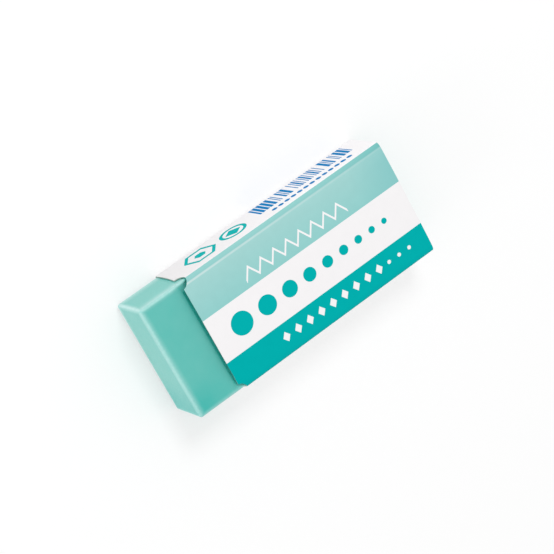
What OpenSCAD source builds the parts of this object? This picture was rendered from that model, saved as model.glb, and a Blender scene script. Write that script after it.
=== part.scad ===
// Block eraser of soft vinyl in a folded card sleeve.
// It lies on the back of the sleeve. The bare end of the block points along -X,
// the printed front faces +Z, and the narrow side with the bars faces +Y.

/* [Block] */
// Length of the vinyl block
block_l = 43; // [30:0.5:70]
// Width of the vinyl block, across the broad face
block_w = 18; // [12:0.1:30]
// Thickness of the vinyl block
block_t = 8.3; // [6:0.1:16]
// Radius of the block's soft edges
block_edge_r = 0.4; // [0.2:0.05:1]
// How far the block stands out of the sleeve at its bare end
bare_l = 7; // [4:0.5:14]

/* [Card] */
// Thickness of the card
card_t = 0.2; // [0.15:0.01:0.4]
// Room between the block and the card all round
slide_gap = 0.05; // [0.02:0.01:0.2]
// Outer radius of the folds
fold_r = 0.75; // [0.6:0.05:1.2]
// Distance from the seam on the back to the side of the sleeve
seam_inset = 1.6; // [1.3:0.1:4]
// Room between the glued flap's free edge and the fold beside it
flap_gap = 0.8; // [0.5:0.1:4]

/* [Open end] */
// Radius of the round notch in each front fold
notch_r = 1.15; // [0.6:0.05:1.6]
// Distance from the fold's corner to the middle of the notch, along the narrow side
notch_drop = 0.4; // [0.2:0.02:1]
// Depth of the shallow curve in the end of each narrow side
scallop_depth = 0.12; // [0.05:0.01:0.5]

/* [Print bands] */
// Width of the pale band on the front, counted from the side of the sleeve
pale_band_w = 6.6; // [4:0.1:9]
// Height above the start of the fold at which the pale band begins
pale_rise = 0.35; // [0.05:0.01:0.5]
// Width of the deep band on the front, counted from the other side
deep_band_w = 4.8; // [2:0.1:8]
// How far the deep band runs down the narrow side behind it
deep_wrap = 1.4; // [1:0.1:3]

/* [Print on the pale band] */
// Distance from the open end to the zigzag line
zigzag_start = 8.5; // [2:0.5:20]
// Distance from the side of the sleeve to the middle of the zigzag line
zigzag_inset = 4.75; // [3:0.05:7]
// Length of one step of the zigzag, up and down
zigzag_pitch = 2.3; // [1:0.1:4]
// Height of the zigzag
zigzag_h = 1.8; // [1:0.1:3]
// Thickness of the line
zigzag_line = 0.26; // [0.15:0.01:0.5]
// Number of steps
zigzag_count = 8; // [2:1:12]

/* [Print on the white band] */
// Distance from the open end to the first, largest dot
dot_start = 3.15; // [1:0.05:10]
// Radius of the first dot
dot_first_r = 1.75; // [1:0.05:3]
// Radius of the last dot
dot_last_r = 0.45; // [0.2:0.05:1.5]
// Gap between neighbouring dots
dot_gap = 1.35; // [0.5:0.05:3]
// Number of dots
dot_count = 9; // [2:1:12]

/* [Print on the deep band] */
// Distance from the open end to the middle of the first diamond
diamond_start = 9.7; // [2:0.1:20]
// Distance between neighbouring diamonds
diamond_pitch = 2.15; // [1.5:0.05:4]
// Width of a diamond, along the sleeve
diamond_w = 1.25; // [0.5:0.05:2]
// Height of a diamond, across the sleeve
diamond_h = 1.6; // [0.5:0.05:3]
// Number of diamonds
diamond_count = 9; // [1:1:12]
// Radius of the small dots that follow the diamonds
small_dot_r = 0.3; // [0.15:0.05:0.6]
// Distance between the small dots
small_dot_pitch = 1.9; // [1:0.1:3]
// Number of small dots
small_dot_count = 3; // [1:1:5]

/* [Print on the narrow side] */
// Distance from the open end to the middle of the hexagon
hexagon_start = 6; // [3:0.1:10]
// Height of the hexagon's outline, from side to side
hexagon_h = 4.9; // [3:0.1:6]
// Height of the small full hexagon inside it
hexagon_core_h = 1.7; // [0.8:0.1:2.4]
// Distance from the hexagon's middle to the round mark's middle
mark_pitch = 5.9; // [4:0.1:8]
// Outer radius of the round mark
round_mark_r = 2.2; // [1.2:0.1:3]
// Thickness of both outlines
mark_line = 0.55; // [0.2:0.05:0.7]
// Distance from the open end to the bars
bars_start = 16.5; // [12:0.1:24]
// Width of the thinnest bar and of the thinnest gap
bar_unit = 0.18; // [0.12:0.01:0.24]
// Number of such units in the row of bars and gaps
bar_units = 95; // [10:1:110]
// Height of the bars
bar_h = 4.2; // [2:0.1:5]
// Height of the bars' lower ends above the back of the sleeve
bar_low = 1.1; // [1:0.1:2]
// Radius of the beads above the bars
bead_r = 0.45; // [0.15:0.05:0.5]
// Distance between neighbouring beads
bead_pitch = 1.15; // [1.05:0.05:2]
// Distance from the front of the sleeve to the beads
bead_inset = 2.1; // [1.4:0.05:2.5]
// Number of beads
bead_count = 13; // [2:1:16]

/* [Hidden] */
$fn = 48;

pale_green = "#9bd5d2";
deep_green = "#03afaf";
bar_blue = "#1a6cb8";
card_white = "#f4f3f5";
vinyl_green = "#70c7bc";

// Outer size of the sleeve: the back is two layers of card thick
sleeve_l = block_l - bare_l;
sleeve_w = block_w + 2 * slide_gap + 2 * card_t;
sleeve_t = block_t + 2 * slide_gap + 3 * card_t;

// Ends of the part along X, with the origin under the middle of its box
end_x = block_l / 2;
open_x = end_x - sleeve_l;
side_y = sleeve_w / 2;
block_z = 2 * card_t + slide_gap;

// The notch's axis is tilted half-way between the front and the narrow side
notch_tilt = 45;
notch_reach = 2 * fold_r + notch_r;
notch_end_drop = notch_drop + notch_r / cos(notch_tilt);

// The shallow curve runs from the notch to the back fold
scallop_span = sleeve_t - notch_end_drop - card_t - fold_r;
scallop_r = scallop_span * scallop_span / (8 * scallop_depth) + scallop_depth / 2;
scallop_z = card_t + fold_r + scallop_span / 2;

// Edges of the printed bands across the front
pale_y = side_y - pale_band_w;
deep_y = -side_y + deep_band_w;

// The bars follow a made-up rhythm: a unit is inked where the rest of its square is small
rhythm_step = 13;
rhythm_size = 103;

// Extra length that lets a cutting shape pass clean through
over = 1;

// A box with every edge and corner rounded, standing on its lowest point
module soft_box(size, r) {
    for (x = [r, size.x - r], y = [r, size.y - r], z = [r, size.z - r])
        translate([x, y, z]) sphere(r);
    for (y = [r, size.y - r], z = [r, size.z - r])
        translate([r, y, z]) rotate([0, 90, 0]) cylinder(r = r, h = size.x - 2 * r);
    for (x = [r, size.x - r], z = [r, size.z - r])
        translate([x, r, z]) rotate([-90, 0, 0]) cylinder(r = r, h = size.y - 2 * r);
    for (x = [r, size.x - r], y = [r, size.y - r])
        translate([x, y, r]) cylinder(r = r, h = size.z - 2 * r);
    translate([0, r, r]) cube([size.x, size.y - 2 * r, size.z - 2 * r]);
    translate([r, 0, r]) cube([size.x - 2 * r, size.y, size.z - 2 * r]);
    translate([r, r, 0]) cube([size.x - 2 * r, size.y - 2 * r, size.z]);
}

// Quarter ring of card round a fold, in the plane of the sleeve's section
module fold(centre, turn) {
    translate(centre) rotate(turn) intersection() {
        difference() {
            circle(fold_r);
            circle(fold_r - card_t);
        }
        square(fold_r + over);
    }
}

// A flat panel of the section, between two corners
module panel(low, high) {
    translate(low) square(high - low);
}

// Section of the folded sheet, from the glued flap round to the outer back layer
module folded_section() {
    inner_y = side_y - fold_r;
    back_z = card_t;
    front_z = sleeve_t - fold_r;
    // Glued flap, inside the outer back layer
    panel([-side_y + card_t + flap_gap, back_z], [inner_y, back_z + card_t]);
    fold([inner_y, back_z + fold_r], -90);
    // Narrow side with the bars
    panel([side_y - card_t, back_z + fold_r], [side_y, front_z]);
    fold([inner_y, front_z], 0);
    // Front
    panel([-inner_y, sleeve_t - card_t], [inner_y, sleeve_t]);
    fold([-inner_y, front_z], 90);
    // Other narrow side
    panel([-side_y, fold_r], [-side_y + card_t, front_z]);
    fold([-inner_y, fold_r], 180);
    // Outer back layer, up to the seam
    panel([-inner_y, 0], [side_y - seam_inset, card_t]);
}

// Round notch across one front fold, at the open end
module fold_notch() {
    translate([open_x, side_y, sleeve_t - notch_drop])
        rotate([-notch_tilt, 0, 0])
            translate([0, 0, -notch_reach]) cylinder(r = notch_r, h = 2 * notch_reach);
}

// Shallow curve in the ends of both narrow sides
module end_scallop() {
    translate([open_x + scallop_depth - scallop_r, 0, scallop_z])
        rotate([90, 0, 0]) cylinder(r = scallop_r, h = sleeve_w + 2 * over, center = true, $fn = 180);
}

// The sheet as folded and die cut, before any print
module cut_sheet() {
    difference() {
        translate([open_x, 0, 0]) rotate([90, 0, 90]) linear_extrude(sleeve_l) folded_section();
        fold_notch();
        mirror([0, 1, 0]) fold_notch();
        end_scallop();
    }
}

// The space of a printed band, between two places across the width and above a height
module band(low_y, high_y, low_z) {
    translate([open_x - over, low_y, low_z])
        cube([sleeve_l + 2 * over, high_y - low_y, sleeve_t + over - low_z]);
}

// The space of a flat shape printed on the front, drawn from the open end along X and across Y
module on_front() {
    translate([open_x, 0, sleeve_t - card_t - over]) linear_extrude(card_t + 2 * over) children();
}

// The space of a flat shape printed on the narrow side, drawn from the open end along X and up Z
module on_side() {
    translate([open_x, side_y + over, 0])
        rotate([90, 0, 0]) linear_extrude(card_t + 2 * over) children();
}

// Thin zigzag line
module zigzag() {
    corners = [for (i = [0 : 2 * zigzag_count]) [i * zigzag_pitch / 2, (i % 2 - 0.5) * zigzag_h]];
    slope = 2 * zigzag_h / zigzag_pitch;
    rise = [0, zigzag_line / 2 * sqrt(1 + slope * slope)];
    upper = [for (corner = corners) corner + rise];
    lower = [for (i = [len(corners) - 1 : -1 : 0]) corners[i] - rise];
    translate([zigzag_start, side_y - zigzag_inset]) polygon(concat(upper, lower));
}

// Dots that shrink evenly from the first to the last
function dot_r(i) = dot_first_r * pow(dot_last_r / dot_first_r, i / (dot_count - 1));
function dot_x(i) = i == 0 ? dot_first_r : dot_x(i - 1) + dot_r(i - 1) + dot_gap + dot_r(i);

module dots() {
    for (i = [0 : dot_count - 1])
        translate([dot_start + dot_x(i), (pale_y + deep_y) / 2]) circle(dot_r(i));
}

// Diamonds in the middle of the deep band's flat part, and small dots after them
module diamonds() {
    middle_y = (deep_y - side_y + fold_r) / 2;
    last_x = diamond_start + (diamond_count - 1) * diamond_pitch;
    half = [diamond_w / 2, diamond_h / 2];
    for (i = [0 : diamond_count - 1])
        translate([diamond_start + i * diamond_pitch, middle_y])
            polygon([[half.x, 0], [0, half.y], [-half.x, 0], [0, -half.y]]);
    for (i = [1 : small_dot_count])
        translate([last_x + i * small_dot_pitch, middle_y]) circle(small_dot_r);
}

// Hexagon of a given height, with corners on its left and right
module hexagon(height) {
    circle(height / 2 / cos(30), $fn = 6);
}

// Small hexagon in a hexagon outline, and a diamond in a ring
module marks() {
    heart_r = round_mark_r - 1.5 * mark_line;
    translate([hexagon_start, sleeve_t / 2]) {
        difference() {
            hexagon(hexagon_h);
            hexagon(hexagon_h - 2 * mark_line);
        }
        hexagon(hexagon_core_h);
    }
    translate([hexagon_start + mark_pitch, sleeve_t / 2]) {
        difference() {
            circle(round_mark_r);
            circle(round_mark_r - mark_line);
        }
        polygon([[heart_r, 0], [0, heart_r], [-heart_r, 0], [0, -heart_r]]);
    }
}

// Upright bars, each as wide as the run of inked units that it covers
function inked(i) = i >= 0 && i < bar_units && rhythm_step * i * i % rhythm_size < rhythm_size / 2;
function run(i) = inked(i) ? 1 + run(i + 1) : 0;

module bars() {
    for (i = [0 : bar_units - 1])
        if (inked(i) && !inked(i - 1))
            translate([bars_start + i * bar_unit, bar_low]) square([run(i) * bar_unit, bar_h]);
}

// Beads in a row above the bars, centred on them
module beads() {
    first_x = bars_start + (bar_units * bar_unit - (bead_count - 1) * bead_pitch) / 2;
    for (i = [0 : bead_count - 1])
        translate([first_x + i * bead_pitch, sleeve_t - bead_inset]) circle(bead_r);
}

module pale_ink() {
    difference() {
        band(pale_y, side_y + over, sleeve_t - fold_r + pale_rise);
        on_front() zigzag();
    }
}

module deep_ink() {
    difference() {
        band(-side_y - over, deep_y, sleeve_t - deep_wrap);
        on_front() diamonds();
    }
    on_front() dots();
    on_side() marks();
}

module blue_ink() {
    on_side() {
        bars();
        beads();
    }
}

module eraser_block() {
    color(vinyl_green)
        translate([-end_x, -block_w / 2, block_z])
            soft_box([block_l, block_w, block_t], block_edge_r);
}

module sleeve() {
    color(pale_green) intersection() {
        cut_sheet();
        pale_ink();
    }
    color(deep_green) intersection() {
        cut_sheet();
        deep_ink();
    }
    color(bar_blue) intersection() {
        cut_sheet();
        blue_ink();
    }
    color(card_white) difference() {
        cut_sheet();
        pale_ink();
        deep_ink();
        blue_ink();
    }
}

eraser_block();
sleeve();
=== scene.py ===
"""Block eraser of soft vinyl in a folded, printed card sleeve, seen from above its open end."""

import math

import bmesh
import bpy
from mathutils import Matrix, Vector, noise


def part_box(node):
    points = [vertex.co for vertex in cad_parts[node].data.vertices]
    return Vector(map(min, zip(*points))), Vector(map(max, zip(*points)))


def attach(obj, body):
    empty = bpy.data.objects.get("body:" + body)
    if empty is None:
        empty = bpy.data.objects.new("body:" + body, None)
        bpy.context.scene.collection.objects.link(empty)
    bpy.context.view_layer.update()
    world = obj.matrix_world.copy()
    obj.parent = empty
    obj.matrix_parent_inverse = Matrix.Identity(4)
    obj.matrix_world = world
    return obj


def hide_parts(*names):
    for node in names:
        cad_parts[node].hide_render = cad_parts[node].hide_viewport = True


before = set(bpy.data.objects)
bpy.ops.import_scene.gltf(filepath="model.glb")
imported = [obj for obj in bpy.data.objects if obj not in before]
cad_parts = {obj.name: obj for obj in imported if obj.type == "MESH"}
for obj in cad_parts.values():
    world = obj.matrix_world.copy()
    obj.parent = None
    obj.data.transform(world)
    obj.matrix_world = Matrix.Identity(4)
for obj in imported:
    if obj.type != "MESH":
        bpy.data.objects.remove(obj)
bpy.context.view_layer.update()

# Lengths in this script are in millimetres, as in the part's source
MM = 0.001

# The card sleeve
CARD_T = 0.2
FOLD_R = 0.75
SEAM_INSET = 1.6
FLAP_GAP = 0.8
NOTCH_R = 1.15
NOTCH_DROP = 0.4
SCALLOP_DEPTH = 0.12
CUT_EDGE_R = 0.03
PANEL_BOW = 0.14
CARD_UNEVEN = 0.04
CARD_WAVE_ALONG = 0.12
CARD_WAVE_ACROSS = 0.2
SHARP_ANGLE = 40
CARD_SPECULAR = 0.015
GLUE_LIFT = 0.01

# The print
PALE_BAND_W = 6.6
PALE_IN_BEND = 0.35
DEEP_BAND_W = 4.8
DEEP_WRAP = 1.4
CREASE_INSET = 0.84
CREASE_LINE = 0.2

# The vinyl block
BLOCK_EDGE_R = 0.4
BLOCK_STEP = 0.4
BLOCK_FINE_STEP = 0.12
BLOCK_FINE_W = 1.8
BLOCK_EDGE_STEPS = 6
BLOCK_DIGITS = 4
BLOCK_UNEVEN = 0.02
BLOCK_WAVE = 0.25
WAIST_DEPTH = 0.45
WAIST_OUT = 5
WAIST_IN = 6
# The card's press on the block tapers towards the deep band, and the painted shade along its cut edge with
# it
PRESS_AND_SHADE_TAPER_W = 4.5
PRESS_AND_SHADE_LOW_SHARE = 0.4

# Colours, as red, green and blue from 0 to 255
PALE_GREEN = (164, 212, 209)
# Painted shade in the pale band: away from the fold, at the far end and in the fold
PALE_INNER_SHADE = (147, 207, 204)
PALE_FAR_SHADE = (134, 198, 197)
PALE_BEND_SHADE = (147, 204, 201)
PALE_BEND_SHADE_FAR = (118, 190, 187)
DEEP_GREEN = (0, 175, 174)
CARD_WHITE = (245, 243, 244)
# Painted shade on the white near the open end
CARD_WHITE_SHADED = (234, 231, 232)
RAW_CARD = (218, 217, 211)
# Painted shade on the card's cut edge and inside at the open end
CUT_EDGE_SHADE = (16, 132, 118)
BAR_BLUE = (0, 124, 187)
VINYL_GREEN = (90, 191, 181)
# Painted shade of the vinyl towards the bare end's low corner
VINYL_CORNER_SHADE = (24, 180, 171)
# Painted shade along the dent beside the card's cut edge
VINYL_CREVICE_SHADE = (14, 184, 168)
# A paler green: random mottle, and painted highlights along the edges
VINYL_MOTTLE_AND_HIGHLIGHT = (192, 230, 227)

# The camera: the side it looks from, and the point it looks at
CAMERA_AZIMUTH = -134.5
CAMERA_ELEVATION = 62.88
CAMERA_ROLL = 102.15
CAMERA_DISTANCE = 312.4
CAMERA_TARGET = (-0.1, -0.04, 4.5)
CAMERA_LENS = 142.96
CAMERA_CLIP = 10
SENSOR_WIDTH = 36

# The floor and the light
FLOOR_SIZE = 3000
FLOOR_GLOW_SHARE = 0.48
WORLD_LEVEL = 0.76
LAMP_DISTANCE = 450
KEY_SIDE = (0.1, 0.55, 0.75)
KEY_SIZE = 130
KEY_SHARE = 0.22
FILL_SIDE = (-1, -0.1, 0.22)
FILL_SIZE = 220
FILL_SHARE = 0.15

# Noises: how finely they change in a millimetre, and how rough they are
VINYL_SPECKS = {"scale": 2.5, "detail": 4, "roughness": 0.7}
VINYL_MOTTLE = {"scale": 0.35, "detail": 3}
VINYL_SHINE = {"scale": 3}
VINYL_GRAIN = {"scale": 6, "detail": 4}
CARD_SHINE = {"scale": 2.2}
CARD_COATING = {"scale": 5, "detail": 5, "roughness": 0.65}
CARD_INK = {"scale": 0.8, "detail": 4}
CARD_FIBRE = {"scale": 3, "detail": 6, "roughness": 0.7}
CREASE_BREAKS = {"scale": 0.8}

# Most of a noise lies between these two values
NOISE_LOW = 0.3
NOISE_HIGH = 0.7


def linear(colour):
    """A colour written from 0 to 255, as the linear RGBA that a shader takes."""
    parts = [value / 255 for value in colour]
    return [p / 12.92 if p <= 0.04045 else ((p + 0.055) / 1.055) ** 2.4 for p in parts] + [1]


def node_box(name):
    """Lowest and highest corners of a CAD node, in millimetres."""
    low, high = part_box(name)
    return low / MM, high / MM


# Material nodes

class Nodes:
    """A material's node tree, with short ways to add to it."""

    def __init__(self, name):
        self.material = bpy.data.materials.new(name)
        self.material.use_nodes = True
        self.tree = self.material.node_tree
        self.shader = self.tree.nodes["Principled BSDF"]

    def add(self, kind, **settings):
        node = self.tree.nodes.new("ShaderNode" + kind)
        for name, value in settings.items():
            setattr(node, name, value)
        return node

    def put(self, socket, value):
        if isinstance(value, bpy.types.NodeSocket):
            self.tree.links.new(value, socket)
        else:
            socket.default_value = value

    def math(self, operation, *values, clamp=False):
        node = self.add("Math", operation=operation, use_clamp=clamp)
        for socket, value in zip(node.inputs, values):
            self.put(socket, value)
        return node.outputs[0]

    def places(self):
        """The place on the piece along x, y and z, in millimetres."""
        scale = self.add("VectorMath", operation="SCALE")
        self.put(scale.inputs["Vector"], self.add("TexCoord").outputs["Object"])
        self.put(scale.inputs["Scale"], 1 / MM)
        split = self.add("SeparateXYZ")
        self.put(split.inputs[0], scale.outputs[0])
        return scale.outputs[0], split.outputs

    def noise(self, vector, scale, detail=2.0, roughness=0.5):
        node = self.add("TexNoise")
        settings = {"Vector": vector, "Scale": scale, "Detail": detail, "Roughness": roughness}
        for name, value in settings.items():
            self.put(node.inputs[name], value)
        return node.outputs["Fac"]

    def varied(self, vector, kind, low, high):
        """Noise of one kind that runs from low to high."""
        return self.remap(self.noise(vector, **kind), NOISE_LOW, NOISE_HIGH, low, high)

    def remap(self, value, from_low, from_high, to_low, to_high):
        node = self.add("MapRange")
        for socket, number in zip(node.inputs, (value, from_low, from_high, to_low, to_high)):
            self.put(socket, number)
        return node.outputs[0]

    def mix(self, share, first, second):
        node = self.add("Mix", data_type="RGBA")
        self.put(node.inputs["Factor"], share)
        self.put(node.inputs["A"], first)
        self.put(node.inputs["B"], second)
        return node.outputs["Result"]

    def bump(self, height, distance):
        node = self.add("Bump")
        self.put(node.inputs["Height"], height)
        self.put(node.inputs["Distance"], distance * MM)
        self.put(self.shader.inputs["Normal"], node.outputs[0])

    def set(self, **sockets):
        for name, value in sockets.items():
            self.put(self.shader.inputs[name.replace("_", " ")], value)


# Camera, floor and light

def make_camera():
    """The camera at the photograph's viewing angle."""
    turn = (
        Matrix.Rotation(math.radians(CAMERA_AZIMUTH), 3, "Z")
        @ Matrix.Rotation(math.radians(90 - CAMERA_ELEVATION), 3, "X")
        @ Matrix.Rotation(math.radians(CAMERA_ROLL), 3, "Z")
    )
    data = bpy.data.cameras.new("camera")
    data.lens = CAMERA_LENS
    data.sensor_width = SENSOR_WIDTH
    data.clip_start = CAMERA_CLIP * MM
    camera = bpy.data.objects.new("camera", data)
    place = (Vector(CAMERA_TARGET) + turn.col[2] * CAMERA_DISTANCE) * MM
    camera.matrix_world = Matrix.Translation(place) @ turn.to_4x4()
    bpy.context.scene.collection.objects.link(camera)
    bpy.context.scene.camera = camera


def make_floor():
    """A plain white floor. The camera and reflections see it as white, darker where a shadow falls."""
    bpy.ops.mesh.primitive_plane_add(size=FLOOR_SIZE * MM)
    floor = bpy.context.object
    floor.name = "floor"
    nodes = Nodes("floor_white")
    nodes.set(Base_Color=(1, 1, 1, 1), Roughness=1.0)
    nodes.put(nodes.shader.inputs["Specular IOR Level"], 0)
    path = nodes.add("LightPath").outputs
    reflected = nodes.math("MAXIMUM", path["Is Glossy Ray"], path["Is Transmission Ray"])
    seen = nodes.math("MULTIPLY", path["Is Camera Ray"], FLOOR_GLOW_SHARE)
    glow = nodes.add("Emission")
    blend = nodes.add("MixShader")
    nodes.put(blend.inputs[0], nodes.math("MAXIMUM", seen, reflected))
    nodes.put(blend.inputs[1], nodes.shader.outputs[0])
    nodes.put(blend.inputs[2], glow.outputs[0])
    nodes.put(nodes.tree.nodes["Material Output"].inputs["Surface"], blend.outputs[0])
    floor.data.materials.append(nodes.material)


def make_world(level):
    world = bpy.data.worlds.new("studio")
    world.use_nodes = True
    background = world.node_tree.nodes["Background"]
    background.inputs["Color"].default_value = (1, 1, 1, 1)
    background.inputs["Strength"].default_value = level
    bpy.context.scene.world = world


def make_softbox(name, side, size, share):
    """A square lamp on one side of the object. Share is the part of the full light that it gives."""
    data = bpy.data.lights.new(name, "AREA")
    data.size = size * MM
    data.energy = share * 4 * math.pi * (LAMP_DISTANCE * MM) ** 2
    lamp = bpy.data.objects.new(name, data)
    way = Vector(side).normalized()
    lamp.location = way * LAMP_DISTANCE * MM
    lamp.rotation_euler = way.to_track_quat("Z", "Y").to_euler()
    bpy.context.scene.collection.objects.link(lamp)


# The vinyl block

def extend(places, end, step):
    """Adds even steps from the last place to the end."""
    start = places[-1]
    count = round((end - start) / step)
    places += [start + (end - start) * i / count for i in range(1, count + 1)]


def block_places(half, radius, *fine):
    """Places along one axis of the block: steps on the flat, smaller in the fine stretches, and equal
    angles round the soft edges."""
    inner = half - radius
    flat = [-inner]
    for start, end in fine:
        extend(flat, start, BLOCK_STEP)
        extend(flat, end, BLOCK_FINE_STEP)
    extend(flat, inner, BLOCK_STEP)
    steps = range(1, BLOCK_EDGE_STEPS + 1)
    bend = [inner + radius * math.tan(math.pi / 4 * i / BLOCK_EDGE_STEPS) for i in steps]
    return [-place for place in reversed(bend)] + flat + bend


def wave(point):
    """Smooth noise at a point, from 0 to 1."""
    return 0.5 + 0.5 * noise.noise(point)


def soften(raw, half, radius):
    """Moves a point of a sharp box on to the box with soft edges, and gives the way out from there."""
    inner = Vector(max(r - h, min(h - r, v)) for v, h, r in zip(raw, half, [radius] * 3))
    way = (Vector(raw) - inner).normalized()
    return inner + way * radius, way


def waist(place, way, card_low, card_high):
    """How far the card has pressed a point of the block's front in: most along the card's cut edge, and
    less towards the deep band. In the round notches, where no card presses, the block swells out."""
    along = place.x - card_low.x
    across = abs(card_high.y - abs(place.y) + place.z - card_high.z + NOTCH_DROP) / math.sqrt(2)
    notch = math.sqrt(max(0, NOTCH_R ** 2 - across ** 2))
    if along > notch:
        share = max(0, 1 - (along - notch) / WAIST_IN)
    else:
        if along > 0:
            bare = NOTCH_R - math.hypot(along, across)
        else:
            bare = math.hypot(along, max(0, NOTCH_R - across))
        share = max(0, 1 - bare / min(WAIST_OUT, NOTCH_R + across))
    taper = min(1, PRESS_AND_SHADE_LOW_SHARE + (1 - PRESS_AND_SHADE_LOW_SHARE) * (place.y - card_low.y) / PRESS_AND_SHADE_TAPER_W)
    return WAIST_DEPTH * taper * share * share * max(0, way.z)


def make_block():
    """The block of soft vinyl, with soft edges and faces that are not quite flat."""
    low, high = node_box("eraser_block")
    middle = (low + high) / 2
    half = (high - low) / 2
    card_low, card_high = node_box("sleeve")
    inner = half - Vector([BLOCK_EDGE_R] * 3)
    open_x = card_low.x - middle.x
    fine = BLOCK_FINE_W
    places = [
        block_places(half.x, BLOCK_EDGE_R, (open_x - fine, open_x + fine)),
        block_places(half.y, BLOCK_EDGE_R, (-inner.y, fine - inner.y), (inner.y - fine, inner.y)),
        block_places(half.z, BLOCK_EDGE_R, (inner.z - fine, inner.z)),
    ]
    mesh = bmesh.new()
    made = {}

    def corner(raw):
        key = tuple(round(value, BLOCK_DIGITS) for value in raw)
        if key not in made:
            point, way = soften(raw, half, BLOCK_EDGE_R)
            dip = BLOCK_UNEVEN * wave(point * BLOCK_WAVE)
            dip += waist(middle + point, way, card_low, card_high)
            made[key] = mesh.verts.new((middle + point - way * dip) * MM)
        return made[key]

    for axis in range(3):
        first, second = [a for a in range(3) if a != axis]
        for side in (-1, 1):
            for a0, a1 in zip(places[first], places[first][1:]):
                for b0, b1 in zip(places[second], places[second][1:]):
                    quad = []
                    for a, b in ((a0, b0), (a1, b0), (a1, b1), (a0, b1)):
                        raw = [0, 0, 0]
                        raw[axis], raw[first], raw[second] = side * half[axis], a, b
                        quad.append(corner(raw))
                    mesh.faces.new(quad)
    bmesh.ops.recalc_face_normals(mesh, faces=mesh.faces)
    for face in mesh.faces:
        face.smooth = True
    block = finish_mesh("vinyl_block", mesh, [vinyl(low, high)])
    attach(block, "block")
    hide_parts("eraser_block")


def finish_mesh(name, mesh, materials):
    data = bpy.data.meshes.new(name)
    mesh.to_mesh(data)
    mesh.free()
    for material in materials:
        data.materials.append(material)
    piece = bpy.data.objects.new(name, data)
    bpy.context.scene.collection.objects.link(piece)
    return piece


# Painted highlights along the block's edges, in a paler green
EDGE_HIGHLIGHT_SHARE = 0.68
EDGE_HIGHLIGHT_W = 0.95
EDGE_HIGHLIGHT_START = 1.5
EDGE_HIGHLIGHT_POWER = 2
UPRIGHT_HIGHLIGHT_W = 0.62
SPECK_SHARES = (0.78, 1.07)

# How much a distance along one axis counts for them. Two shares go from low y to high y
EDGE_X_SHARES = (0.75, 0.95)
EDGE_Y_SHARE = 1.1
EDGE_DOWN_SHARES = (1, 0.55)
BARS_SIDE_SHARE = 0.65
UPRIGHT_X_SHARE = 0.65

# Painted shade, a deeper green, along the dent beside the card's cut edge
CREVICE_SHADE_SHARE = 0.75
CREVICE_SHADE_W = 0.32
CREVICE_SHADE_CORE_W = CREVICE_SHADE_W / 3

# Painted shade: a deeper green towards the bare end's low corner
CORNER_SHADE_W = 6
CORNER_SHADE_L = 7
CORNER_SHADE_FAR_SHARE = 0.12
CORNER_SHADE_UNDER_SHARE = 1.5

# The surface of the vinyl
MOTTLE_SHARE = 0.04
VINYL_ROUGHNESS = (0.28, 0.36)
VINYL_IOR = 1.5
SCATTER_SHARE = 0.25
SCATTER_DEPTH = 0.3
SHEEN_SHARE = 0.1
SHEEN_ROUGHNESS = 0.4
VINYL_GRAIN_DEPTH = 0.012


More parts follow.
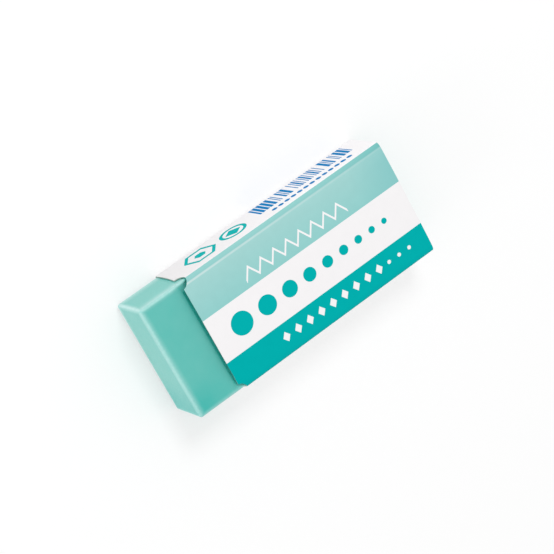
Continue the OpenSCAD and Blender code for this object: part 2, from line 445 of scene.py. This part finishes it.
def vinyl(low, high):
    """Soft vinyl: matt and slightly translucent, with a fine even grain. Painted highlights run along its
    edges, and painted shade lies towards the bare end's low corner and along the card's cut edge.
    """
    nodes = Nodes("soft_vinyl_green")
    place, (x, y, z) = nodes.places()
    # The two smallest distances to a face tell how close a point is to an edge. Each axis has its own
    # share, because the painted highlights reach further on some faces than on others
    on_bars_side = nodes.remap(y, high.y - BLOCK_EDGE_R, high.y, 1, BARS_SIDE_SHARE)
    down_share = nodes.math("MULTIPLY", nodes.remap(y, low.y, high.y, *EDGE_DOWN_SHARES), on_bars_side)
    shares = (nodes.remap(y, low.y, high.y, *EDGE_X_SHARES), EDGE_Y_SHARE, down_share)
    inset = []
    for value, floor, ceiling, share in zip((x, y, z), low, high, shares):
        rise = nodes.math("SUBTRACT", value, floor)
        fall = nodes.math("SUBTRACT", ceiling, value)
        inset.append(nodes.math("MULTIPLY", nodes.math("MINIMUM", rise, fall), share))
    total = nodes.math("ADD", nodes.math("ADD", inset[0], inset[1]), inset[2])
    farthest = nodes.math("MAXIMUM", nodes.math("MAXIMUM", inset[0], inset[1]), inset[2])
    off_edge = nodes.math("SUBTRACT", total, farthest)
    # Painted highlight: the vinyl is mixed paler close to its edges and its upright edges
    ridge = BLOCK_EDGE_R * (1 - math.sqrt(0.5))
    start = EDGE_HIGHLIGHT_START * ridge
    nearness = nodes.remap(off_edge, start, EDGE_HIGHLIGHT_W, 1, 0)
    pale = nodes.math("MULTIPLY", nodes.math("POWER", nearness, EDGE_HIGHLIGHT_POWER), EDGE_HIGHLIGHT_SHARE)
    across = nodes.math("MULTIPLY", inset[0], UPRIGHT_X_SHARE)
    nearness = nodes.remap(nodes.math("ADD", across, inset[1]), start, UPRIGHT_HIGHLIGHT_W, 1, 0)
    upright = nodes.math("POWER", nearness, EDGE_HIGHLIGHT_POWER)
    specks = nodes.varied(place, VINYL_SPECKS, *SPECK_SHARES)
    edge = nodes.math("MULTIPLY", nodes.math("MAXIMUM", pale, upright), specks)
    mottle = nodes.varied(place, VINYL_MOTTLE, 0, MOTTLE_SHARE)
    # Painted shade: a deeper green towards the bare end's low corner, more towards the underside
    down = nodes.remap(y, low.y + CORNER_SHADE_W, low.y, 0, 1)
    outwards = nodes.remap(x, low.x, low.x + CORNER_SHADE_L, 1, CORNER_SHADE_FAR_SHARE)
    under = nodes.remap(z, low.z, high.z, CORNER_SHADE_UNDER_SHARE, 1)
    deeper = nodes.math("MULTIPLY", nodes.math("MULTIPLY", down, outwards), under, clamp=True)
    body = nodes.mix(deeper, linear(VINYL_GREEN), linear(VINYL_CORNER_SHADE))
    body = nodes.mix(mottle, body, linear(VINYL_MOTTLE_AND_HIGHLIGHT))
    body = nodes.mix(edge, body, linear(VINYL_MOTTLE_AND_HIGHLIGHT))
    # Painted shade: a deeper green along the dent beside the card's cut edge
    nodes.set(Base_Color=nodes.mix(crevice_shade(nodes, x, y, z), body, linear(VINYL_CREVICE_SHADE)))
    nodes.set(Roughness=nodes.varied(place, VINYL_SHINE, *VINYL_ROUGHNESS), IOR=VINYL_IOR)
    nodes.set(Subsurface_Weight=SCATTER_SHARE, Subsurface_Scale=SCATTER_DEPTH * MM)
    nodes.set(Subsurface_Radius=(1, 1, 1))
    nodes.set(Sheen_Weight=SHEEN_SHARE, Sheen_Roughness=SHEEN_ROUGHNESS)
    nodes.bump(nodes.noise(place, **VINYL_GRAIN), VINYL_GRAIN_DEPTH)
    return nodes.material


def shade_taper(nodes, y, low):
    """How strong the painted shade along the card's cut edge is: less towards the deep band, where the
    card presses less.
    """
    return nodes.remap(y, low.y, low.y + PRESS_AND_SHADE_TAPER_W, PRESS_AND_SHADE_LOW_SHARE, 1)


def notch_low(high):
    """The height at which the notches start in the narrow sides."""
    return high.z - NOTCH_DROP - NOTCH_R * math.sqrt(2)


def slant(nodes, across, up):
    """The length of a slanted line, from how far it goes both ways."""
    square = nodes.math("ADD", nodes.math("MULTIPLY", across, across), nodes.math("MULTIPLY", up, up))
    return nodes.math("SQRT", square)


def crevice_shade(nodes, x, y, z):
    """How much painted shade, a deeper green, the vinyl gets along the card's cut edge, which is straight
    across the front and round in the notches. It fades out in the narrow sides."""
    low, high = node_box("sleeve")
    along = nodes.math("SUBTRACT", x, low.x)
    inset = nodes.math("SUBTRACT", z, nodes.math("ABSOLUTE", y))
    off_corner = nodes.math("ADD", inset, high.y - high.z + NOTCH_DROP)
    across = nodes.math("ABSOLUTE", nodes.math("MULTIPLY", off_corner, math.sqrt(0.5)))
    to_rim = nodes.math("MAXIMUM", nodes.math("SUBTRACT", NOTCH_R, across), 0)
    to_straight = slant(nodes, along, to_rim)
    to_round = nodes.math("ABSOLUTE", nodes.math("SUBTRACT", slant(nodes, along, across), NOTCH_R))
    to_round = nodes.math("ADD", to_round, nodes.math("LESS_THAN", along, 0))
    nearest = nodes.math("MINIMUM", to_round, to_straight)
    line = nodes.remap(nearest, CREVICE_SHADE_CORE_W, CREVICE_SHADE_W, CREVICE_SHADE_SHARE, 0)
    on_front = nodes.remap(z, notch_low(high), high.z - FOLD_R, 0, 1)
    return nodes.math("MULTIPLY", nodes.math("MULTIPLY", line, on_front), shade_taper(nodes, y, low))


# The card sleeve

def straight(start, end):
    """A flat run of the sheet: its length, and the place and way out at a distance along it."""
    start = Vector(start)
    way = Vector(end) - start
    out = Vector((way.y, -way.x)).normalized()
    return way.length, lambda along: (start + way * (along / way.length), out)


def fold(centre, first_angle):
    """A fold of the sheet, a quarter turn long."""
    def place(along):
        angle = math.radians(first_angle) + along / FOLD_R
        out = Vector((math.cos(angle), math.sin(angle)))
        return Vector(centre) + out * FOLD_R, out
    return FOLD_R * math.pi / 2, place


# Steps along the sheet
FLAT_STEP = 0.5
FOLD_STEP = 0.1
NOTCH_STEPS = 14
SHEET_DIGITS = 5
GLUED_Z = CARD_T + GLUE_LIFT

# A place is on a flat panel when it is this close to it, or when its way out leans no further than this
FLAT_TOLERANCE = 0.0001
FLAT_COSINE = 0.999


def even(start, end, step=FLAT_STEP):
    """Evenly spaced distances from start to end."""
    count = max(1, round((end - start) / step))
    return [start + (end - start) * i / count for i in range(count + 1)]


def crowd_last(start, end):
    """Distances that crowd together towards the end, where a round cut is steep."""
    steps = range(NOTCH_STEPS + 1)
    return [start + (end - start) * math.sin(math.pi / 2 * i / NOTCH_STEPS) for i in steps]


def crowd_first(start, end):
    """Distances that crowd together at the start."""
    return [start + end - along for along in reversed(crowd_last(start, end))]


def sheet_stations(high):
    """Places along the folded sheet, from the glued flap round to the seam, each with its way out."""
    inner_y = high.y - FOLD_R
    front_z = high.z - FOLD_R
    side_low = GLUED_Z + FOLD_R
    notch_start = notch_low(high)
    notch_front = NOTCH_R * math.sqrt(2) - NOTCH_DROP - FOLD_R
    pale_start = FOLD_R * math.asin(PALE_IN_BEND / FOLD_R)
    pale_end = PALE_BAND_W - FOLD_R
    deep_start = 2 * inner_y - (DEEP_BAND_W - FOLD_R)
    deep_end = DEEP_WRAP - FOLD_R
    runs = []

    def lay(run, *stretches):
        place = run[1]
        distances = sorted({round(along, SHEET_DIGITS) for stretch in stretches for along in stretch})
        runs.extend(place(along) for along in distances if along > 0 or not runs)

    fold_l = FOLD_R * math.pi / 2
    flap = straight((-high.y + CARD_T + FLAP_GAP, GLUED_Z), (inner_y, GLUED_Z))
    lay(flap, even(0, flap[0]))
    lay(fold((inner_y, GLUED_Z + FOLD_R), -90), even(0, fold_l, FOLD_STEP))
    side = straight((high.y, side_low), (high.y, front_z))
    lay(side, even(0, notch_start - side_low), crowd_first(notch_start - side_low, side[0]))
    lay(fold((inner_y, front_z), 0), even(0, pale_start, FOLD_STEP), even(pale_start, fold_l, FOLD_STEP))
    front = straight((inner_y, high.z), (-inner_y, high.z))
    lay(
        front,
        crowd_last(0, notch_front),
        even(notch_front, pale_end),
        even(pale_end, deep_start),
        even(deep_start, front[0] - notch_front),
        crowd_first(front[0] - notch_front, front[0]),
    )
    lay(fold((-inner_y, front_z), 90), even(0, fold_l, FOLD_STEP))
    side = straight((-high.y, front_z), (-high.y, FOLD_R))
    lay(
        side,
        even(0, deep_end, FOLD_STEP),
        crowd_last(deep_end, front_z - notch_start),
        even(front_z - notch_start, side[0]),
    )
    lay(fold((-inner_y, FOLD_R), 180), even(0, fold_l, FOLD_STEP))
    back = straight((-inner_y, 0), (high.y - SEAM_INSET, 0))
    lay(back, even(0, back[0]))
    return runs


def open_end_cut(place, high):
    """How deep the open end is cut at a place of the section: round notches, shallow narrow sides."""
    notch_end = notch_low(high)
    across = (high.y - abs(place.x) + place.y - high.z + NOTCH_DROP) / math.sqrt(2)
    if place.y > notch_end and across < NOTCH_R:
        return math.sqrt(max(0, NOTCH_R ** 2 - across ** 2))
    back_end = CARD_T + FOLD_R
    if abs(place.x) < high.y - FLAT_TOLERANCE or not back_end < place.y < notch_end:
        return 0
    half_span = (notch_end - back_end) / 2
    radius = half_span ** 2 / (2 * SCALLOP_DEPTH) + SCALLOP_DEPTH / 2
    height = place.y - (notch_end + back_end) / 2
    return SCALLOP_DEPTH - radius + math.sqrt(radius ** 2 - height ** 2)


def panel_lift(place, out, x, high):
    """How far a panel stands out between its folds: the front's slight bow and the card's unevenness."""
    if out.y > FLAT_COSINE:
        across = place.x / (high.y - FOLD_R)
        bow = PANEL_BOW
    elif abs(out.x) > FLAT_COSINE:
        middle = high.z / 2
        across = (place.y - middle) / (middle - CARD_T - FOLD_R)
        bow = 0
    else:
        return 0
    rise = wave(Vector((x * CARD_WAVE_ALONG, place.x * CARD_WAVE_ACROSS, place.y * CARD_WAVE_ACROSS)))
    return (bow + CARD_UNEVEN * rise) * math.sqrt(max(0, math.cos(math.pi / 2 * across)))


# The card's materials, in the order of the mesh
PALE, DEEP, WHITE, RAW = range(4)


def print_field(place, high):
    """The band of print that a place of the section lies in."""
    if place.x > high.y - PALE_BAND_W and place.y > high.z - FOLD_R + PALE_IN_BEND:
        return PALE
    if place.x < -high.y + DEEP_BAND_W and place.y > high.z - DEEP_WRAP:
        return DEEP
    return WHITE


# The first places along the sleeve, from the inside of the open end's cut edge
OPEN_END_PLACES = (0, 0.06, 0.15, 0.3, 0.5, 0.8, 1.2)


def length_places(length):
    """Places along the sleeve, closer together at its open end, from one cut edge to the other."""
    last = length - 2 * CUT_EDGE_R
    return list(OPEN_END_PLACES) + even(OPEN_END_PLACES[-1], last, 2 * FLAT_STEP)[1:]


def make_sleeve():
    """The folded sheet of card, with its die-cut open end and its glued back."""
    low, high = node_box("sleeve")
    length = high.x - low.x
    stations = sheet_stations(high)
    places = length_places(length)
    mesh = bmesh.new()
    rings = []
    for place, out in stations:
        cut = open_end_cut(place, high)

        def corner(along, depth):
            x = low.x + along + cut * (1 - along / length)
            section = place + out * (panel_lift(place, out, x, high) - depth)
            return mesh.verts.new(Vector((x, section.x, section.y)) * MM)

        face = [corner(CUT_EDGE_R + along, 0) for along in places]
        far_cut = [corner(length, depth) for depth in (CUT_EDGE_R, CARD_T - CUT_EDGE_R)]
        back = [corner(CUT_EDGE_R + along, CARD_T) for along in reversed(places)]
        open_cut = [corner(0, depth) for depth in (CARD_T - CUT_EDGE_R, CUT_EDGE_R)]
        rings.append(face + far_cut + back + open_cut)
    middles = [(first[0] + second[0]) / 2 for first, second in zip(stations, stations[1:])]
    for middle, ring, next_ring in zip(middles, rings, rings[1:]):
        field = print_field(middle, high)
        for i in range(len(ring)):
            quad = mesh.faces.new((ring[i - 1], ring[i], next_ring[i], next_ring[i - 1]))
            quad.material_index = field if i <= len(places) else RAW
    # The free edges of the flap and of the outer back layer
    count = len(places)
    for ring in (rings[0], rings[-1]):
        for i in range(count):
            mirrored = 2 * count + 1 - i
            mesh.faces.new((ring[i], ring[i + 1], ring[mirrored - 1], ring[mirrored])).material_index = RAW
        mesh.faces.new((ring[-1], ring[0], ring[2 * count + 1], ring[-2])).material_index = RAW
    bmesh.ops.recalc_face_normals(mesh, faces=mesh.faces)
    for face in mesh.faces:
        face.smooth = True
    materials = [make(low, high) for make in (pale_print, deep_print, white_print, raw_card)]
    sleeve = finish_mesh("card_sleeve", mesh, materials)
    sleeve.data.set_sharp_from_angle(angle=math.radians(SHARP_ANGLE))
    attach(sleeve, "sleeve")
    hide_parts("sleeve")


# Print on the card, in generic motifs. Distances along the sleeve start at its open end

ZIGZAG_START = 8.5
ZIGZAG_INSET = 4.75
ZIGZAG_PITCH = 2.3
ZIGZAG_H = 1.8
ZIGZAG_LINE = 0.26
ZIGZAG_COUNT = 8

DOT_START = 3.15
DOT_FIRST_R = 1.75
DOT_LAST_R = 0.45
DOT_GAP = 1.35
DOT_COUNT = 9

DIAMOND_START = 9.7
DIAMOND_PITCH = 2.15
DIAMOND_W = 1.25
DIAMOND_H = 1.6
DIAMOND_COUNT = 9
SMALL_DOT_R = 0.3
SMALL_DOT_PITCH = 1.9
SMALL_DOT_COUNT = 3

HEXAGON_START = 6
HEXAGON_H = 4.9
HEXAGON_CORE_H = 1.7
MARK_PITCH = 5.9
ROUND_MARK_R = 2.2
RING_DIAMOND_R = 1.375
MARK_LINE = 0.55

BARS_START = 16.5
BAR_UNIT = 0.18
BAR_UNITS = 95
BAR_H = 4.2
BAR_LOW = 1.1
RHYTHM_STEP = 13
RHYTHM_SIZE = 103
BEAD_R = 0.45
BEAD_PITCH = 1.15
BEAD_INSET = 2.1
BEAD_COUNT = 13


def window(nodes, value, low, high):
    """1 between two places, and 0 outside."""
    return nodes.math(
        "MULTIPLY",
        nodes.math("GREATER_THAN", value, low),
        nodes.math("LESS_THAN", value, high),
    )


def either(nodes, masks):
    """1 where any of the masks is."""
    whole = masks[0]
    for mask in masks[1:]:
        whole = nodes.math("MAXIMUM", whole, mask)
    return whole


def off_centre(nodes, value, middle):
    """Distance from a place, on either side."""
    return nodes.math("ABSOLUTE", nodes.math("SUBTRACT", value, middle))


def flat_distance(nodes, u, v, centre):
    """Distance from a point of the face."""
    return slant(nodes, nodes.math("SUBTRACT", u, centre[0]), nodes.math("SUBTRACT", v, centre[1]))


def disc(nodes, u, v, centre, radius):
    return nodes.math("LESS_THAN", flat_distance(nodes, u, v, centre), radius)


def row_offset(nodes, u, first, pitch):
    """Distance from the nearest motif of a row."""
    return nodes.math("PINGPONG", nodes.math("SUBTRACT", u, first), pitch / 2)


def zigzag(nodes, x, y, high):
    """A thin zigzag line along the pale band."""
    slope = 2 * ZIGZAG_H / ZIGZAG_PITCH
    rise = nodes.math("MULTIPLY", row_offset(nodes, x, ZIGZAG_START, ZIGZAG_PITCH), slope)
    low_y = high.y - ZIGZAG_INSET - ZIGZAG_H / 2
    height = nodes.math("SUBTRACT", nodes.math("SUBTRACT", y, low_y), rise)
    half_line = ZIGZAG_LINE / 2 * math.hypot(1, slope)
    line = nodes.math("LESS_THAN", nodes.math("ABSOLUTE", height), half_line)
    length = ZIGZAG_COUNT * ZIGZAG_PITCH
    return nodes.math("MULTIPLY", line, window(nodes, x, ZIGZAG_START, ZIGZAG_START + length))


def graded_dots(nodes, x, y):
    """A row of dots that shrink along the middle of the white band."""
    middle_y = (DEEP_BAND_W - PALE_BAND_W) / 2
    discs = []
    right = DOT_START
    for i in range(DOT_COUNT):
        radius = DOT_FIRST_R * (DOT_LAST_R / DOT_FIRST_R) ** (i / (DOT_COUNT - 1))
        discs.append(disc(nodes, x, y, (right + radius, middle_y), radius))
        right += 2 * radius + DOT_GAP
    return either(nodes, discs)


def diamonds(nodes, x, y, high):
    """A row of small diamonds along the flat part of the deep band, then a few small dots."""
    middle_y = (DEEP_BAND_W + FOLD_R) / 2 - high.y
    last_x = DIAMOND_START + (DIAMOND_COUNT - 1) * DIAMOND_PITCH
    across = nodes.math("DIVIDE", row_offset(nodes, x, DIAMOND_START, DIAMOND_PITCH), DIAMOND_W / 2)
    up = nodes.math("DIVIDE", off_centre(nodes, y, middle_y), DIAMOND_H / 2)
    inside = nodes.math("LESS_THAN", nodes.math("ADD", across, up), 1)
    ends = window(nodes, x, DIAMOND_START - DIAMOND_W, last_x + DIAMOND_W)
    masks = [nodes.math("MULTIPLY", inside, ends)]
    for i in range(SMALL_DOT_COUNT):
        middle_x = last_x + (i + 1) * SMALL_DOT_PITCH
        masks.append(disc(nodes, x, y, (middle_x, middle_y), SMALL_DOT_R))
    return either(nodes, masks)


def hexagon_distance(nodes, x, z, centre):
    """Distance from a hexagon's middle to the side through a point, with corners on the left and right."""
    across = off_centre(nodes, x, centre[0])
    up = off_centre(nodes, z, centre[1])
    slanted = nodes.math(
        "ADD",
        nodes.math("MULTIPLY", across, math.sqrt(0.75)),
        nodes.math("MULTIPLY", up, 0.5),
    )
    return nodes.math("MAXIMUM", up, slanted)


def side_marks(nodes, x, z, high):
    """A small hexagon in a hexagon outline, and a diamond in a ring, on the narrow side."""
    hexagon_at = (HEXAGON_START, high.z / 2)
    round_at = (HEXAGON_START + MARK_PITCH, high.z / 2)
    to_side = hexagon_distance(nodes, x, z, hexagon_at)
    to_round = flat_distance(nodes, x, z, round_at)
    steps = nodes.math("ADD", off_centre(nodes, x, round_at[0]), off_centre(nodes, z, round_at[1]))
    return either(nodes, [
        window(nodes, to_side, HEXAGON_H / 2 - MARK_LINE, HEXAGON_H / 2),
        nodes.math("LESS_THAN", to_side, HEXAGON_CORE_H / 2),
        window(nodes, to_round, ROUND_MARK_R - MARK_LINE, ROUND_MARK_R),
        nodes.math("LESS_THAN", steps, RING_DIAMOND_R),
    ])


def side_bars(nodes, x, z, high):
    """Upright bars in a made-up rhythm, where the rest of a unit's square is small, and beads above."""
    along = nodes.math("SUBTRACT", x, BARS_START)
    unit = nodes.math("FLOOR", nodes.math("DIVIDE", along, BAR_UNIT))
    square = nodes.math("MULTIPLY", nodes.math("MULTIPLY", unit, unit), RHYTHM_STEP)
    inked = nodes.math("LESS_THAN", nodes.math("MODULO", square, RHYTHM_SIZE), RHYTHM_SIZE / 2)
    length = BAR_UNITS * BAR_UNIT
    field = nodes.math(
        "MULTIPLY",
        window(nodes, x, BARS_START, BARS_START + length),
        window(nodes, z, BAR_LOW, BAR_LOW + BAR_H),
    )
    bars = nodes.math("MULTIPLY", inked, field)
    first_x = BARS_START + (length - (BEAD_COUNT - 1) * BEAD_PITCH) / 2
    across = row_offset(nodes, x, first_x, BEAD_PITCH)
    bead = disc(nodes, across, z, (0, high.z - BEAD_INSET), BEAD_R)
    row = window(nodes, x, first_x - BEAD_R, first_x + (BEAD_COUNT - 1) * BEAD_PITCH + BEAD_R)
    return nodes.math("MAXIMUM", bars, nodes.math("MULTIPLY", bead, row))


# The surface of the card
CARD_ROUGHNESS = (0.5, 0.6)
COATING_DEPTH = 0.008
INK_CHANGE = 0.03
WHITE_CHANGE = 0.015
RAW_CHANGE = 0.1
RAW_ROUGHNESS = 0.9
FIBRE_DEPTH = 0.015


def coated_card(name):
    """Starts a material of coated card: matt, with a fine fibre under its coating."""
    nodes = Nodes(name)
    place, axes = nodes.places()
    nodes.put(nodes.shader.inputs["Specular IOR Level"], CARD_SPECULAR)
    nodes.set(Roughness=nodes.varied(place, CARD_SHINE, *CARD_ROUGHNESS))
    nodes.bump(nodes.noise(place, **CARD_COATING), COATING_DEPTH)
    return nodes, place, axes


def shaded_colour(nodes, shade, colour, change):
    """A colour that gets slightly darker where the shade is low."""
    darker = [part * (1 - change) for part in linear(colour)[:3]] + [1]
    return nodes.mix(shade, darker, linear(colour))


def uneven(nodes, place, colour, change=INK_CHANGE):
    """A colour that varies slightly from place to place, as ink on card does."""
    return shaded_colour(nodes, nodes.varied(place, CARD_INK, 0, 1), colour, change)


# Painted shade: the pale band's green deeper at the far end, and less so beside the fold
PALE_FAR_L = 7.2
PALE_FAR_SHARE = 0.8
PALE_FAR_INWARDS = 0.35
PALE_FAR_AT_FOLD = 0.6
BEND_FAR_POWER = 4

# The light line on the crease: partly a pale crease, partly a painted highlight that fades towards the far
# end
CREASE_PALE_AND_HIGHLIGHT = 0.43
CREASE_PALE_AND_HIGHLIGHT_FAR = 0.07
CREASE_END = 0.95
CREASE_BREAK_TOP = 0.6
CREASE_BREAK_SHARE = 0.85


def pale_print(low, high):
    """The pale band, with painted shade: a deeper green away from the fold, at the far end and in the
    fold. The light line on the crease is partly a pale crease and partly a painted highlight."""
    nodes, place, (x, y, _) = coated_card("card_pale_green")
    # Painted shade: the green deepens away from the fold, at the far end and in the fold
    inwards = nodes.remap(y, high.y - FOLD_R, high.y - PALE_BAND_W, 0, 1)
    ink = nodes.mix(inwards, uneven(nodes, place, PALE_GREEN), uneven(nodes, place, PALE_INNER_SHADE))
    to_end = nodes.remap(x, high.x - PALE_FAR_L, high.x, 0, PALE_FAR_SHARE)
    off_fold = nodes.remap(inwards, 0, PALE_FAR_INWARDS, PALE_FAR_AT_FOLD, 1)
    ink = nodes.mix(nodes.math("MULTIPLY", to_end, off_fold), ink, linear(PALE_FAR_SHADE))
    along = nodes.remap(x, low.x, high.x, 0, 1)
    bend_far = nodes.math("POWER", along, BEND_FAR_POWER)
    bend = nodes.mix(bend_far, linear(PALE_BEND_SHADE), linear(PALE_BEND_SHADE_FAR))
    crease_y = high.y - CREASE_INSET
    ink = nodes.mix(nodes.remap(y, crease_y, crease_y + CREASE_LINE, 0, 1), ink, bend)
    # The crease line: partly a pale crease, partly a painted highlight that fades along the sleeve
    off_crease = nodes.math("DIVIDE", off_centre(nodes, y, crease_y), CREASE_LINE)
    line = nodes.math("SUBTRACT", 1, nodes.math("MULTIPLY", off_crease, off_crease), clamp=True)
    fade = nodes.remap(along, 0, CREASE_END, CREASE_PALE_AND_HIGHLIGHT, CREASE_PALE_AND_HIGHLIGHT_FAR)
    breaks = nodes.noise(place, **CREASE_BREAKS)
    broken = nodes.remap(breaks, NOISE_LOW, CREASE_BREAK_TOP, CREASE_BREAK_SHARE, 1)
    strength = nodes.math("MULTIPLY", fade, broken)
    ink = nodes.mix(nodes.math("MULTIPLY", line, strength), ink, linear(CARD_WHITE))
    from_end = nodes.math("SUBTRACT", x, low.x)
    nodes.set(Base_Color=nodes.mix(zigzag(nodes, from_end, y, high), ink, linear(CARD_WHITE)))
    return nodes.material


def deep_print(low, high):
    """The deep band, with its small white motifs."""
    nodes, place, (x, y, _) = coated_card("card_deep_green")
    ink = uneven(nodes, place, DEEP_GREEN)
    from_end = nodes.math("SUBTRACT", x, low.x)
    nodes.set(Base_Color=nodes.mix(diamonds(nodes, from_end, y, high), ink, linear(CARD_WHITE)))
    return nodes.material


# Painted shade: how far the slight grey of the narrow side with the bars reaches from the open end
SHADED_L = 22


def white_print(low, high):
    """The white of the card, with dots on the front, and marks and bars on one narrow side, which has
    painted shade, a slight grey, near the open end."""
    nodes, place, (x, y, z) = coated_card("card_white")
    on_front = nodes.math("GREATER_THAN", z, high.z - FOLD_R)
    on_side = nodes.math("GREATER_THAN", y, high.y - FOLD_R / 2)
    from_end = nodes.math("SUBTRACT", x, low.x)
    dots = nodes.math("MULTIPLY", graded_dots(nodes, from_end, y), on_front)
    marks = nodes.math("MULTIPLY", side_marks(nodes, from_end, z, high), on_side)
    bars = nodes.math("MULTIPLY", side_bars(nodes, from_end, z, high), on_side)
    ink = uneven(nodes, place, CARD_WHITE, WHITE_CHANGE)
    # Painted shade: a slight grey on the narrow side near the open end
    shaded = nodes.math("MULTIPLY", nodes.remap(from_end, 0, SHADED_L, 1, 0), on_side)
    ink = nodes.mix(shaded, ink, linear(CARD_WHITE_SHADED))
    ink = nodes.mix(nodes.math("MAXIMUM", dots, marks), ink, linear(DEEP_GREEN))
    nodes.set(Base_Color=nodes.mix(bars, ink, linear(BAR_BLUE)))
    return nodes.material


# Painted shade, a dark green, on the card's cut edge and inside at the open end
CUT_EDGE_SHADE_W = 1.4
CUT_EDGE_SHADE_FADE = 1
SIDE_CUT_EDGE_SHADE_SHARE = 0.06


def raw_card(low, high):
    """The uncoated inside and cut edges of the card, with painted shade in a dark green at the open end,
    most at the front."""
    nodes = Nodes("card_raw")
    place, (x, y, z) = nodes.places()
    fibre = nodes.noise(place, **CARD_FIBRE)
    shade = nodes.remap(fibre, NOISE_LOW, NOISE_HIGH, 0, 1)
    card = shaded_colour(nodes, shade, RAW_CARD, RAW_CHANGE)
    # Painted shade: the raw card mixed to a dark green near the open end, most at the front
    shade_start_x = low.x + CUT_EDGE_SHADE_W
    near_end = nodes.remap(x, shade_start_x, shade_start_x + CUT_EDGE_SHADE_FADE, 1, 0)
    up = nodes.remap(z, notch_low(high), high.z - FOLD_R / 2, SIDE_CUT_EDGE_SHADE_SHARE, 1)
    cut_edge_shade = nodes.math("MULTIPLY", nodes.math("MULTIPLY", near_end, up), shade_taper(nodes, y, low))
    nodes.set(Base_Color=nodes.mix(cut_edge_shade, card, linear(CUT_EDGE_SHADE)), Roughness=RAW_ROUGHNESS)
    nodes.bump(fibre, FIBRE_DEPTH)
    return nodes.material


make_camera()
make_floor()
make_world(WORLD_LEVEL)
make_softbox("key", KEY_SIDE, KEY_SIZE, KEY_SHARE)
make_softbox("fill", FILL_SIDE, FILL_SIZE, FILL_SHARE)
make_block()
make_sleeve()

bpy.context.scene.view_settings.view_transform = "Standard"
